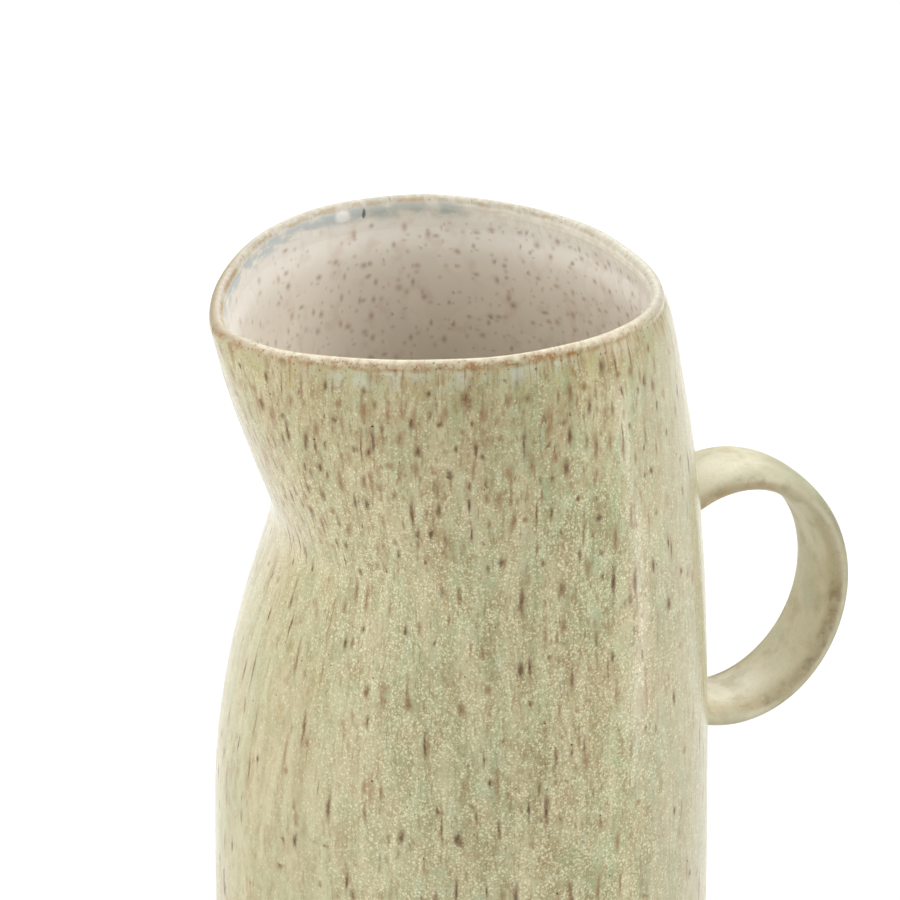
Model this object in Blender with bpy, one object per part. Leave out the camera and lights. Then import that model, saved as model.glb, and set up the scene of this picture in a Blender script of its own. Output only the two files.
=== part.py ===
"""Stoneware pouring carafe: a turned body with a folded spout, a luted strap
handle and a poured lining glaze.

Frame: metres, +Z up.  The origin is the centre of the flat unglazed base, the
spout points along -X, the handle along +X, and XZ is the mirror plane.
Lengths below are in millimetres and are scaled to metres when a mesh is made.
"""
import math

import bpy
import bmesh
from mathutils import Vector

MM = 0.001

# ---------------------------------------------------------------- dimensions
RIM_HEIGHT = 205.0        # nominal height where the lip rounding starts

# outer side of revolution: radius grows from the mouth down to the belly
BELLY_RADIUS = 56.5
MOUTH_DRAW_IN = 14.2      # how much narrower the mouth is than the belly
TAPER_LENGTH = 36.9
TAPER_POWER = 0.833

# lower end of the body, rounding into the flat base
FOOT_START = 150.0        # depth below the rim where the side turns in
BASE_RADIUS = 44.0
FOOT_POWER = 2.3

# folded spout: pushed out at the lip, pushed in at the throat
FOLD_DEPTH = 53.1         # depth of the fold below the rim
FOLD_INSET = 12.5         # how far the throat is pushed in
SPOUT_REACH = 15.9        # how far the lip is drawn out
FLARE_BOW = 0.33          # bow of the flare between lip and fold
FOLD_FADE = 80.0          # length below the fold where the side is round again
FOLD_FADE_POWER = 2.54
FOLD_SOFTNESS = 3.0       # rounding of the fold
SPOUT_SPREAD_LIP = 1.25   # angular spread of the spout at the lip, radians
SPOUT_POWER_LIP = 1.0
SPOUT_SPREAD_FOLD = 1.30  # angular spread of the push-in at the fold
SPOUT_POWER_FOLD = 2.81
SPOUT_TIP_SOFT = 0.07
MOUTH_OVAL = 2.15         # the drawn mouth is a little wider across
MOUTH_OVAL_LENGTH = 70.0

# height of the lip around the mouth
SPOUT_DIP = 3.6
SPOUT_DIP_SPREAD = 0.73
LIP_TILT = 0.65
LIP_SADDLE = 0.88
LIP_FADE = 40.0

WALL = 4.1
FLOOR = 6.0
INNER_FOOT_START = 140.0
INNER_BASE_RADIUS = 36.0

# lining glaze
GAP = 0.3
GLAZE = 0.5
GLAZE_TOP = 4.0           # depth below the lip where the lining ends

# strap handle, an upright oval loop
LOOP_X = 65.0
LOOP_DEPTH = 84.9         # depth of the loop's centre below the rim
LOOP_A = 28.9             # outer half length along X
LOOP_B = 32.5             # outer half height
STRAP_THICK = 6.4
STRAP_WIDTH = 20.3
STRAP_POWER = 0.75
LUTE_LENGTH = 3.2         # slip pad between strap end and wall
LUTE_FLARE = 1.5

# mesh resolution
COLUMNS = 23              # half of the columns around the body
SECTION = 16              # points around the strap


# ------------------------------------------------------------ shape of a wall
def side_radius(s):
    return BELLY_RADIUS - MOUTH_DRAW_IN * math.exp(-(max(s, 0.0) / TAPER_LENGTH) ** TAPER_POWER)


def spout_offset(s):
    """Radius in the spout's centre line minus the round side's radius."""
    fold = side_radius(FOLD_DEPTH) - FOLD_INSET
    lip = side_radius(0.0) + SPOUT_REACH
    u = (FOLD_DEPTH - s) / FOLD_DEPTH
    flare = fold + (lip - fold) * (u + FLARE_BOW * u * (1.0 - u))
    v = min((s - FOLD_DEPTH) / FOLD_FADE, 1.0)
    below = fold + (side_radius(s) - fold) * (1.0 - (1.0 - v) ** FOLD_FADE_POWER)
    line = 0.5 * (flare + below + math.hypot(flare - below, FOLD_SOFTNESS))
    return line - side_radius(s)


def spout_weight(a, s):
    q = min(max(s / FOLD_DEPTH, 0.0), 1.0)
    q = q * q * (3.0 - 2.0 * q)
    spread = SPOUT_SPREAD_LIP + (SPOUT_SPREAD_FOLD - SPOUT_SPREAD_LIP) * q
    power = SPOUT_POWER_LIP + (SPOUT_POWER_FOLD - SPOUT_POWER_LIP) * q
    t = math.hypot(a, SPOUT_TIP_SOFT)
    return math.exp(-((t / spread) ** power - (SPOUT_TIP_SOFT / spread) ** power))


def outer_radius(a, s):
    """a: angle from the spout, s: depth below the rim."""
    r = side_radius(s) + spout_offset(s) * spout_weight(a, s)
    return r - MOUTH_OVAL * math.exp(-(s / MOUTH_OVAL_LENGTH) ** 2) * math.cos(2.0 * a)


def height(a, s):
    lip = (-SPOUT_DIP * math.exp(-(a / SPOUT_DIP_SPREAD) ** 2)
           + LIP_TILT * math.cos(a) - LIP_SADDLE * math.cos(2.0 * a))
    fade = max(1.0 - s / LIP_FADE, 0.0) ** 2
    return RIM_HEIGHT - s + lip * fade


def at(a, r, z):
    return Vector((-r * math.cos(a), -r * math.sin(a), z))


def facing(a, s):
    """Cosine between the wall's normal and its radial direction."""
    h = 0.02
    r = outer_radius(a, s)
    around = (outer_radius(a + h, s) - outer_radius(a - h, s)) / (2.0 * h * r)
    along = (outer_radius(a, s + 0.5) - outer_radius(a, max(s - 0.5, 0.0))) / (0.5 + min(s, 0.5))
    return max(1.0 / math.sqrt(1.0 + around * around + along * along), 0.72)


def round_in(s, start, end, top, bottom):
    x = min(max((s - start) / (end - start), 0.0), 1.0)
    return bottom + (top - bottom) * max(1.0 - x ** FOOT_POWER, 0.0) ** (1.0 / FOOT_POWER)


def outer_point(a, s):
    r = outer_radius(a, s)
    if s > FOOT_START:
        r = round_in(s, FOOT_START, RIM_HEIGHT, r, BASE_RADIUS)
    return at(a, r, height(a, s))


def inner_point(a, s, inset=0.0):
    """The wall's inner side, moved further in by inset."""
    r = outer_radius(a, s) - (WALL + inset) / facing(a, s)
    end = RIM_HEIGHT - FLOOR - inset
    if s > INNER_FOOT_START:
        r = round_in(s, INNER_FOOT_START, end, r, INNER_BASE_RADIUS)
    return at(a, r, height(a, s))


# --------------------------------------------------------------- mesh helpers
def angles():
    """Angles around the body, closer together at the spout."""
    half = [math.pi * (i / COLUMNS) ** 1.2 for i in range(COLUMNS + 1)]
    return [-x for x in reversed(half[1:-1])] + half


def foot_depths(start, end, count):
    """Depths that follow the rounded foot, closer together at its end."""
    return [start + (end - start) * math.sin(0.5 * math.pi * i / count) for i in range(1, count + 1)]


def skin(bm, rings, closed=False):
    verts = [[bm.verts.new(p * MM) for p in ring] for ring in rings]
    n = len(verts[0])
    pairs = list(zip(verts, verts[1:]))
    if closed:
        pairs.append((verts[-1], verts[0]))
    for upper, lower in pairs:
        for i in range(n):
            j = (i + 1) % n
            bm.faces.new((upper[i], upper[j], lower[j], lower[i]))
    return verts


def cap(bm, ring, centre):
    c = bm.verts.new(centre * MM)
    n = len(ring)
    for i in range(n):
        bm.faces.new((ring[i], ring[(i + 1) % n], c))


def finish(name, bm, material, sharp=45.0):
    bmesh.ops.triangulate(bm, faces=bm.faces[:])
    bmesh.ops.recalc_face_normals(bm, faces=bm.faces[:])
    mesh = bpy.data.meshes.new(name)
    bm.to_mesh(mesh)
    bm.free()
    mesh.shade_smooth()
    mesh.set_sharp_from_angle(angle=math.radians(sharp))
    mesh.materials.append(material)
    obj = bpy.data.objects.new(name, mesh)
    bpy.context.scene.collection.objects.link(obj)
    obj.parent = carafe
    return obj


def glaze(name, colour, roughness):
    mat = bpy.data.materials.new(name)
    mat.use_nodes = True
    bsdf = mat.node_tree.nodes["Principled BSDF"]
    bsdf.inputs["Base Color"].default_value = (*colour, 1.0)
    bsdf.inputs["Roughness"].default_value = roughness
    bsdf.inputs["Metallic"].default_value = 0.0
    return mat


# ----------------------------------------------------------------------- body
def make_body(material):
    """Clay wall with its spout, rounded lip and flat base."""
    bm = bmesh.new()
    around = angles()
    outer = [1.5, 8.0, 17.0, 27.0, 36.0, 43.0, 48.0, 51.5, 54.5, 58.5, 65.0, 75.0, 90.0, 110.0, 130.0, FOOT_START]
    outer += foot_depths(FOOT_START, RIM_HEIGHT, 8)
    inner = inner_depths()

    rings = [[inner_point(a, s) for a in around] for s in reversed(inner)]
    # rounded lip, from the inner side over the crest to the outer side
    crest = 0.5 * WALL
    for k in range(6):
        b = math.pi * k / 5.0
        ring = []
        for a in around:
            o, i = outer_point(a, 0.0), inner_point(a, 0.0)
            mid, out = (o + i) / 2.0, (o - i) / 2.0
            ring.append(mid - out * math.cos(b) + Vector((0.0, 0.0, crest * math.sin(b))))
        rings.append(ring)
    rings += [[outer_point(a, s) for a in around] for s in outer]
    verts = skin(bm, rings)
    cap(bm, verts[0], Vector((0.0, 0.0, FLOOR)))
    cap(bm, verts[-1], Vector((0.0, 0.0, 0.0)))
    return finish("body", bm, material)


def inner_depths():
    end = RIM_HEIGHT - FLOOR
    upper = [1.5, GLAZE_TOP, 10.0, 19.0, 29.0, 38.0, 46.0, 51.0, 55.0, 61.0, 70.0, 84.0, 104.0, 124.0, INNER_FOOT_START]
    return upper + foot_depths(INNER_FOOT_START, end, 6)


# --------------------------------------------------------------- lining glaze
def make_lining(material):
    """Thin poured glaze inside the wall, ending just below the lip."""
    bm = bmesh.new()
    around = angles()
    depths = [s for s in inner_depths() if s >= GLAZE_TOP and s < INNER_FOOT_START]

    def side(inset):
        rows = depths + [INNER_FOOT_START] + foot_depths(INNER_FOOT_START, RIM_HEIGHT - FLOOR - inset, 6)
        return [[inner_point(a, s, inset) for a in around] for s in rows]

    back, front = side(GAP), side(GAP + GLAZE)
    verts = skin(bm, list(reversed(back)) + front)
    cap(bm, verts[0], Vector((0.0, 0.0, FLOOR + GAP)))
    cap(bm, verts[-1], Vector((0.0, 0.0, FLOOR + GAP + GLAZE)))
    return finish("inner_glaze", bm, material)


# --------------------------------------------------------------------- handle
def loop_point(t):
    a, b = LOOP_A - STRAP_THICK / 2.0, LOOP_B - STRAP_THICK / 2.0
    return Vector((LOOP_X + a * math.cos(t), 0.0, RIM_HEIGHT - LOOP_DEPTH + b * math.sin(t)))


def loop_frame(t):
    """Tangent and outward normal of the loop."""
    a, b = LOOP_A - STRAP_THICK / 2.0, LOOP_B - STRAP_THICK / 2.0
    tangent = Vector((-a * math.sin(t), 0.0, b * math.cos(t))).normalized()
    return tangent, Vector((tangent.z, 0.0, -tangent.x))


def strap_section(t, grow=0.0, scale=1.0):
    """Rounded flat section of the strap at loop angle t."""
    centre = loop_point(t)
    normal = loop_frame(t)[1]
    ring = []
    for k in range(SECTION):
        b = 2.0 * math.pi * k / SECTION
        c, s = math.cos(b), math.sin(b)
        x = math.copysign(abs(c) ** STRAP_POWER, c) * (STRAP_THICK / 2.0 + grow) * scale
        y = math.copysign(abs(s) ** STRAP_POWER, s) * (STRAP_WIDTH / 2.0 + grow) * scale
        ring.append(centre + normal * x + Vector((0.0, y, 0.0)))
    return ring


def clear_of_wall(p):
    """Distance of a point outside the wall, measured along the radius."""
    a = math.atan2(-p.y, -p.x)
    return math.hypot(p.x, p.y) - outer_radius(a, RIM_HEIGHT - p.z)


def to_wall(p, direction, gap):
    """Distance from p along direction to a clearance of gap from the wall."""
    near, far = 0.0, 30.0
    for _ in range(50):
        mid = (near + far) / 2.0
        if clear_of_wall(p + direction * mid) > gap:
            near = mid
        else:
            far = mid
    return near


def strap_end(sign):
    """Loop angle where the strap stops, a pad's length from the wall."""
    near, far = 1.6, 2.6
    for _ in range(50):
        mid = (near + far) / 2.0
        heading = loop_frame(sign * mid)[0] * sign
        if to_wall(loop_point(sign * mid), heading, 0.0) > LUTE_LENGTH:
            near = mid
        else:
            far = mid
    return sign * near


def make_handle(material):
    bm = bmesh.new()
    first, last = strap_end(-1.0), strap_end(1.0)
    steps = 30
    rings = [strap_section(first + (last - first) * i / steps) for i in range(steps + 1)]
    verts = skin(bm, rings)
    cap(bm, verts[0], loop_point(first))
    cap(bm, verts[-1], loop_point(last))
    return finish("handle", bm, material, 60.0)


def make_lute(name, sign, material):
    """Slip pad that joins one strap end to the wall and flares onto it."""
    bm = bmesh.new()
    t = strap_end(sign)
    heading = loop_frame(t)[0] * sign
    start = heading * GAP
    rings = []
    for k in range(4):
        f = k / 3.0
        ring = []
        for p, q in zip(strap_section(t, 0.15 + (LUTE_FLARE - 0.15) * f ** 2), strap_section(t, LUTE_FLARE)):
            run = to_wall(q, heading, GAP) - GAP
            ring.append(p + start + heading * run * f)
        rings.append(ring)
    for scale in (0.66, 0.33):
        rings.append([p + heading * to_wall(p, heading, GAP) for p in strap_section(t, LUTE_FLARE, scale)])
    verts = skin(bm, rings)
    cap(bm, verts[0], loop_point(t) + start)
    cap(bm, verts[-1], loop_point(t) + heading * to_wall(loop_point(t), heading, GAP))
    return finish(name, bm, material, 60.0)


# ---------------------------------------------------------------------- model
for old in list(bpy.data.objects):
    bpy.data.objects.remove(old, do_unlink=True)

carafe = bpy.data.objects.new("carafe", None)
bpy.context.scene.collection.objects.link(carafe)

OUTER_GLAZE = glaze("outer_glaze", (0.50, 0.45, 0.30), 0.32)
LINING_GLAZE = glaze("lining_glaze", (0.62, 0.54, 0.45), 0.28)

make_body(OUTER_GLAZE)
make_lining(LINING_GLAZE)
make_handle(OUTER_GLAZE)
make_lute("handle_joint_upper", 1.0, OUTER_GLAZE)
make_lute("handle_joint_lower", -1.0, OUTER_GLAZE)
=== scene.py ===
"""Looks of the stoneware carafe: fine meshes of the body, lining, strap handle
and slip joints, their procedural glazes, a pale floor, soft light and a camera.

Lengths in the shape functions are millimetres, meshes are in metres.
"""

import math

import bpy
import numpy as np
from mathutils import Matrix, Vector


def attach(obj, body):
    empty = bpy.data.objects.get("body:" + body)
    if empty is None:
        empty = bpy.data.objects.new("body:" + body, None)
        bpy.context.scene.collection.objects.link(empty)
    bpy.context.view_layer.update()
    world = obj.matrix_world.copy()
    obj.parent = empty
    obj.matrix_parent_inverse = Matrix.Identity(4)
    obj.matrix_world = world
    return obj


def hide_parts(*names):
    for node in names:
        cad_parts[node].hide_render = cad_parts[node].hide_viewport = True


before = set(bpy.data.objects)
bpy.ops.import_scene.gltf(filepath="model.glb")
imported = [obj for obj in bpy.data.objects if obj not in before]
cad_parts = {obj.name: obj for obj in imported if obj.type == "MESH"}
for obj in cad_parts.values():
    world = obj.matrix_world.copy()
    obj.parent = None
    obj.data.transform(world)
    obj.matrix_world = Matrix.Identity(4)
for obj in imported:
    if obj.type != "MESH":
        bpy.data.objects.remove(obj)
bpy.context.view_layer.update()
MM = 0.001

# ------------------------------------------------------------------ the shape
RIM_HEIGHT = 205.0
BELLY_RADIUS, MOUTH_DRAW_IN, TAPER_LENGTH, TAPER_POWER = 56.5, 14.2, 36.9, 0.833
FOOT_START, BASE_RADIUS, FOOT_POWER = 150.0, 44.0, 2.3
FOLD_DEPTH, FOLD_INSET, SPOUT_REACH, FLARE_BOW = 53.1, 12.5, 15.9, 0.33
FOLD_FADE, FOLD_FADE_POWER, FOLD_SOFTNESS = 80.0, 2.54, 3.0
SPOUT_SPREAD_LIP, SPOUT_POWER_LIP = 1.25, 1.0
SPOUT_SPREAD_FOLD, SPOUT_POWER_FOLD, SPOUT_TIP_SOFT = 1.30, 2.81, 0.07
MOUTH_OVAL, MOUTH_OVAL_LENGTH = 2.15, 70.0
SPOUT_DIP, SPOUT_DIP_SPREAD, LIP_TILT, LIP_SADDLE, LIP_FADE = 3.6, 0.73, 0.65, 0.88, 40.0
WALL, FLOOR, INNER_FOOT_START, INNER_BASE_RADIUS = 4.1, 6.0, 140.0, 36.0
GAP, GLAZE, GLAZE_TOP = 0.3, 0.5, 4.0
LIP_THINNING, LIP_THIN_LENGTH, LIP_ARC, LIP_SHOULDER = 1.1, 6.0, 2.7, 0.6
LOOP_X, LOOP_DEPTH, LOOP_A, LOOP_B = 65.0, 84.9, 28.9, 32.5
STRAP_THICK, STRAP_WIDTH, STRAP_POWER = 6.4, 20.3, 0.92
LUTE_LENGTH, LUTE_FILLET = 3.2, 4.2


def side_radius(s):
    return BELLY_RADIUS - MOUTH_DRAW_IN * np.exp(-(np.maximum(s, 0.0) / TAPER_LENGTH) ** TAPER_POWER)


def spout_offset(s):
    fold = side_radius(FOLD_DEPTH) - FOLD_INSET
    lip = side_radius(0.0) + SPOUT_REACH
    u = (FOLD_DEPTH - s) / FOLD_DEPTH
    flare = fold + (lip - fold) * (u + FLARE_BOW * u * (1.0 - u))
    v = np.minimum((s - FOLD_DEPTH) / FOLD_FADE, 1.0)
    below = fold + (side_radius(s) - fold) * (1.0 - (1.0 - v) ** FOLD_FADE_POWER)
    return 0.5 * (flare + below + np.hypot(flare - below, FOLD_SOFTNESS)) - side_radius(s)


def spout_weight(a, s):
    q = np.clip(s / FOLD_DEPTH, 0.0, 1.0)
    q = q * q * (3.0 - 2.0 * q)
    spread = SPOUT_SPREAD_LIP + (SPOUT_SPREAD_FOLD - SPOUT_SPREAD_LIP) * q
    power = SPOUT_POWER_LIP + (SPOUT_POWER_FOLD - SPOUT_POWER_LIP) * q
    t = np.hypot(a, SPOUT_TIP_SOFT)
    return np.exp(-((t / spread) ** power - (SPOUT_TIP_SOFT / spread) ** power))


def outer_radius(a, s):
    """a: angle from the spout, s: depth below the rim."""
    r = side_radius(s) + spout_offset(s) * spout_weight(a, s)
    return r - MOUTH_OVAL * np.exp(-(s / MOUTH_OVAL_LENGTH) ** 2) * np.cos(2.0 * a)


def wobble(a, s):
    """Slight unevenness of a hand-finished wall."""
    return (0.10 * np.sin(2 * a + 0.021 * s + 0.6) + 0.07 * np.sin(3 * a - 0.034 * s + 2.1)
            + 0.05 * np.sin(5 * a + 0.052 * s + 4.0) + 0.035 * np.sin(9 * a - 0.07 * s)
            + 0.03 * np.sin(0.19 * s + 1.3 * np.sin(a)))


def height(a, s):
    lip = (-SPOUT_DIP * np.exp(-(a / SPOUT_DIP_SPREAD) ** 2)
           + LIP_TILT * np.cos(a) - LIP_SADDLE * np.cos(2.0 * a)
           + 0.10 * np.sin(4 * a + 0.4) + 0.08 * np.sin(7 * a + 1.9) + 0.05 * np.sin(13 * a))
    fade = np.maximum(1.0 - s / LIP_FADE, 0.0) ** 2
    return RIM_HEIGHT - s + lip * fade


def facing(a, s):
    h = 0.02
    r = outer_radius(a, s)
    around = (outer_radius(a + h, s) - outer_radius(a - h, s)) / (2.0 * h * r)
    along = (outer_radius(a, s + 0.5) - outer_radius(a, np.maximum(s - 0.5, 0.0))) / (0.5 + np.minimum(s, 0.5))
    return np.maximum(1.0 / np.sqrt(1.0 + around * around + along * along), 0.72)


def round_in(s, start, end, top, bottom):
    x = np.clip((s - start) / (end - start), 0.0, 1.0)
    return bottom + (top - bottom) * np.maximum(1.0 - x ** FOOT_POWER, 0.0) ** (1.0 / FOOT_POWER)


def place(a, r, z):
    a, r, z = np.broadcast_arrays(a, r, z)
    return np.stack([-r * np.cos(a), -r * np.sin(a), z], -1)


def outer_wall(a, s):
    r = outer_radius(a, s) + wobble(a, s)
    r = np.where(s > FOOT_START, round_in(s, FOOT_START, RIM_HEIGHT, r, BASE_RADIUS), r)
    return place(a, r, height(a, s))


def wall_at(s):
    """The wall is drawn thinner towards the lip, from its inside."""
    return WALL - LIP_THINNING * np.exp(-np.maximum(s, 0.0) / LIP_THIN_LENGTH)


def inner_wall(a, s, inset=0.0):
    r = outer_radius(a, s) + 0.6 * wobble(a + 0.4, s) - (wall_at(s) + inset) / facing(a, s)
    end = RIM_HEIGHT - FLOOR - np.max(inset)
    r = np.where(s > INNER_FOOT_START, round_in(s, INNER_FOOT_START, end, r, INNER_BASE_RADIUS), r)
    return place(a, r, height(a, s))


# ---------------------------------------------------------------- mesh making
def mesh_object(name, points, faces, floats=None, vectors=None, sharp=None):
    mesh = bpy.data.meshes.new(name)
    mesh.from_pydata((points * MM).tolist(), [], [f[::-1] for f in faces])
    for key, values in (floats or {}).items():
        mesh.attributes.new(key, "FLOAT", "POINT").data.foreach_set("value", np.asarray(values, np.float32).ravel())
    for key, values in (vectors or {}).items():
        mesh.attributes.new(key, "FLOAT_VECTOR", "POINT").data.foreach_set("vector", np.asarray(values, np.float32).ravel())
    mesh.shade_smooth()
    if sharp:
        mesh.set_sharp_from_angle(angle=math.radians(sharp))
    mesh.update()
    obj = bpy.data.objects.new(name, mesh)
    bpy.context.scene.collection.objects.link(obj)
    return obj


def ring_faces(rows, cols, first=0):
    """Quads of a grid of rows, each row a closed ring."""
    faces = []
    for r in range(rows - 1):
        for c in range(cols):
            d = (c + 1) % cols
            faces.append((first + r * cols + c, first + r * cols + d, first + (r + 1) * cols + d, first + (r + 1) * cols + c))
    return faces


def fan(row, cols, pole, flip):
    faces = []
    for c in range(cols):
        d = (c + 1) % cols
        tri = (row * cols + c, row * cols + d, pole)
        faces.append(tri[::-1] if flip else tri)
    return faces


def around(cols):
    """Angles around the body, closer together at the spout."""
    x = np.linspace(-1.0, 1.0, cols, endpoint=False)
    return np.pi * np.sign(x) * np.abs(x) ** 1.12


def foot_depths(start, end, count):
    return start + (end - start) * np.sin(0.5 * np.pi * np.arange(1, count + 1) / count)


def path_from(grid, zero):
    """Distance along each column of a grid of points from the row zero."""
    step = np.linalg.norm(np.diff(grid, axis=0), axis=2)
    path = np.vstack([np.zeros(grid.shape[1]), np.cumsum(step, 0)])
    return path - path[zero]


GLAZE_RADIUS = 54.0


def glaze_space(a, path):
    """Glaze coordinates in mm: round a cylinder, and along the wall's own slope."""
    a, path = np.broadcast_arrays(a, path)
    return np.stack([GLAZE_RADIUS * np.cos(a), GLAZE_RADIUS * np.sin(a), path], -1)


OUTER_DEPTHS = np.concatenate([
    np.linspace(0.4, 8.0, 16), np.linspace(8.8, 42.0, 44), np.linspace(42.7, 66.0, 48),
    np.linspace(67.0, FOOT_START, 62), foot_depths(FOOT_START, RIM_HEIGHT - 3.2, 36)])
INNER_DEPTHS = np.concatenate([
    np.linspace(LIP_SHOULDER + 0.4, 8.0, 12), np.linspace(9.0, 44.0, 26), np.linspace(45.0, 64.0, 24),
    np.linspace(66.0, INNER_FOOT_START, 30), foot_depths(INNER_FOOT_START, RIM_HEIGHT - FLOOR, 18)])


def make_body():
    cols = 256
    a = around(cols)[None, :]
    inner = inner_wall(a, INNER_DEPTHS[::-1, None])
    # the lip rolls over, with a longer shoulder on its inside
    o, i = outer_wall(a, np.zeros((1, 1)))[0], inner_wall(a, np.full((1, 1), LIP_SHOULDER))[0]
    top = (o + i) / 2.0
    top[:, 2] = o[:, 2] + 0.5 * WALL
    lip = []
    for b in np.linspace(0.0, np.pi, 17):
        side = i if b < np.pi / 2.0 else o
        p = top + (side - top) * abs(np.cos(b))
        p[:, 2] = side[:, 2] + (top[:, 2] - side[:, 2]) * abs(np.sin(b)) ** 0.85
        lip.append(p)
    outer = outer_wall(a, OUTER_DEPTHS[:, None])
    # the glaze ends in a small roll above the bare foot
    z = outer[-1, 0, 2]
    last = outer[-1]
    rad = np.hypot(last[:, 0], last[:, 1])
    foot = []
    for dr, dz in ((0.05, 0.35), (-0.12, 0.62), (-0.42, 0.80), (-0.62, 0.95), (-0.72, 1.2), (-0.95, 1.9),
                   (-1.35, 2.5), (-1.95, 2.95), (-2.7, 3.2), (-8.0, 3.2), (-20.0, 3.2), (-34.0, 3.2)):
        p = last.copy()
        p[:, :2] *= ((rad + dr) / rad)[:, None]
        p[:, 2] = np.maximum(last[:, 2] - dz, 0.0)
        foot.append(p)
    foot = np.array(foot)
    grid = np.concatenate([inner, np.array(lip), outer, foot])
    rows = len(grid)
    crest = len(inner) + 8
    path = path_from(grid, crest)
    points = grid.reshape(-1, 3)
    faces = ring_faces(rows, cols)
    poles = np.array([[0.0, 0.0, FLOOR], [0.0, 0.0, 0.0]])
    n = len(points)
    faces += fan(0, cols, n, True) + fan(rows - 1, cols, n + 1, False)
    space = glaze_space(a, path).reshape(-1, 3)
    extra = np.array([[0.0, 0.0, path[0].mean()], [0.0, 0.0, path[-1].mean()]])
    return mesh_object("carafe_body", np.vstack([points, poles]), faces,
                       floats={"lip": np.concatenate([path.ravel(), extra[:, 2]])},
                       vectors={"glz": np.vstack([space, extra])})


def make_lining():
    """Poured lining, thinning out to nothing at its upper edge."""
    cols = 192
    a = around(cols)[None, :]
    up = INNER_DEPTHS[(INNER_DEPTHS > GLAZE_TOP) & (INNER_DEPTHS < INNER_FOOT_START)]
    top = np.concatenate([[GLAZE_TOP], up])

    def side(inset, feather):
        rows = np.concatenate([top, [INNER_FOOT_START], foot_depths(INNER_FOOT_START, RIM_HEIGHT - FLOOR - inset, 18)])
        thin = np.clip((rows - GLAZE_TOP) / 7.0, 0.0, 1.0)[:, None]
        thin = thin * thin * (3.0 - 2.0 * thin)
        return inner_wall(a, rows[:, None], inset * (feather + (1.0 - feather) * thin))

    back = side(-0.35, 1.0)
    front = side(GAP + GLAZE, -0.10)
    grid = np.concatenate([back[::-1], front])
    rows = len(grid)
    path = -(GLAZE_TOP + LIP_ARC + path_from(front, 0))
    both = np.concatenate([path[::-1], path])
    points = grid.reshape(-1, 3)
    poles = np.array([[0.0, 0.0, FLOOR - 0.35], [0.0, 0.0, FLOOR + GAP + GLAZE]])
    n = len(points)
    faces = [f[::-1] for f in ring_faces(rows, cols)]
    faces += fan(0, cols, n, False) + fan(rows - 1, cols, n + 1, True)
    space = glaze_space(a, both).reshape(-1, 3)
    extra = np.array([[0.0, 0.0, both.min()], [0.0, 0.0, both.min()]])
    return mesh_object("carafe_lining", np.vstack([points, poles]), faces,
                       floats={"lip": np.concatenate([both.ravel(), extra[:, 2]])},
                       vectors={"glz": np.vstack([space, extra])}, sharp=70)


# --------------------------------------------------------------------- handle
def loop_point(t):
    a, b = LOOP_A - STRAP_THICK / 2.0, LOOP_B - STRAP_THICK / 2.0
    return np.array([LOOP_X + a * math.cos(t), 0.0, RIM_HEIGHT - LOOP_DEPTH + b * math.sin(t)])


def loop_frame(t):
    a, b = LOOP_A - STRAP_THICK / 2.0, LOOP_B - STRAP_THICK / 2.0
    tangent = np.array([-a * math.sin(t), 0.0, b * math.cos(t)])
    tangent /= np.linalg.norm(tangent)
    return tangent, np.array([tangent[2], 0.0, -tangent[0]])


SECTION = 72


def strap_section(t, grow=0.0, uneven=1.0):
    """Soft flat section, with slight unevenness along the loop."""
    centre, normal = loop_point(t), loop_frame(t)[1]
    b = 2.0 * np.pi * np.arange(SECTION) / SECTION
    c, s = np.cos(b), np.sin(b)
    thick = STRAP_THICK / 2.0 + uneven * (0.10 * math.sin(2.3 * t + 0.8) + 0.06 * math.sin(5.1 * t))
    width = STRAP_WIDTH / 2.0 + uneven * (0.12 * math.sin(1.7 * t + 2.0) + 0.05 * math.sin(4.3 * t + 1.0))
    x = np.sign(c) * np.abs(c) ** STRAP_POWER * (thick + grow)
    y = np.sign(s) * np.abs(s) ** STRAP_POWER * (width + grow)
    return centre + np.outer(x, normal) + np.outer(y, [0.0, 1.0, 0.0])


def clear_of_wall(p):
    a = np.arctan2(-p[:, 1], -p[:, 0])
    s = RIM_HEIGHT - p[:, 2]
    return np.hypot(p[:, 0], p[:, 1]) - outer_radius(a, s) - wobble(a, s)


def to_wall(p, direction, gap):
    near, far = np.zeros(len(p)), np.full(len(p), 30.0)
    for _ in range(40):
        mid = (near + far) / 2.0
        free = clear_of_wall(p + direction * mid[:, None]) > gap
        near, far = np.where(free, mid, near), np.where(free, far, mid)
    return near


def strap_end(sign):
    near, far = 1.6, 2.6
    for _ in range(40):
        mid = (near + far) / 2.0
        heading = loop_frame(sign * mid)[0] * sign
        if to_wall(loop_point(sign * mid)[None, :], heading, 0.0)[0] > LUTE_LENGTH:
            near = mid
        else:
            far = mid
    return sign * near


def section_edge():
    b = 2.0 * np.pi * np.arange(SECTION) / SECTION
    return np.clip((np.abs(np.sin(b)) - 0.55) / 0.40, 0.0, 1.0)


def make_handle():
    first, last = strap_end(-1.0), strap_end(1.0)
    turns = np.linspace(first, last, 150)
    grid = np.array([strap_section(t) for t in turns])
    rows = len(grid)
    n = rows * SECTION
    faces = [f[::-1] for f in ring_faces(rows, SECTION)]
    faces += fan(0, SECTION, n, False) + fan(rows - 1, SECTION, n + 1, True)
    b = 2.0 * np.pi * np.arange(SECTION) / SECTION
    edge = np.tile(section_edge(), rows)
    inside = np.tile(0.5 - 0.5 * np.cos(b), rows)
    turn = np.concatenate([np.repeat(turns, SECTION), [first, last]])
    poles = np.array([loop_point(first), loop_point(last)])
    obj = mesh_object("carafe_handle", np.vstack([grid.reshape(-1, 3), poles]), faces,
                      floats={"edge": np.concatenate([edge, [0, 0]]), "inside": np.concatenate([inside, [0, 0]]),
                              "joint": np.zeros(n + 2), "turn": turn}, sharp=60)
    return obj


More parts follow.
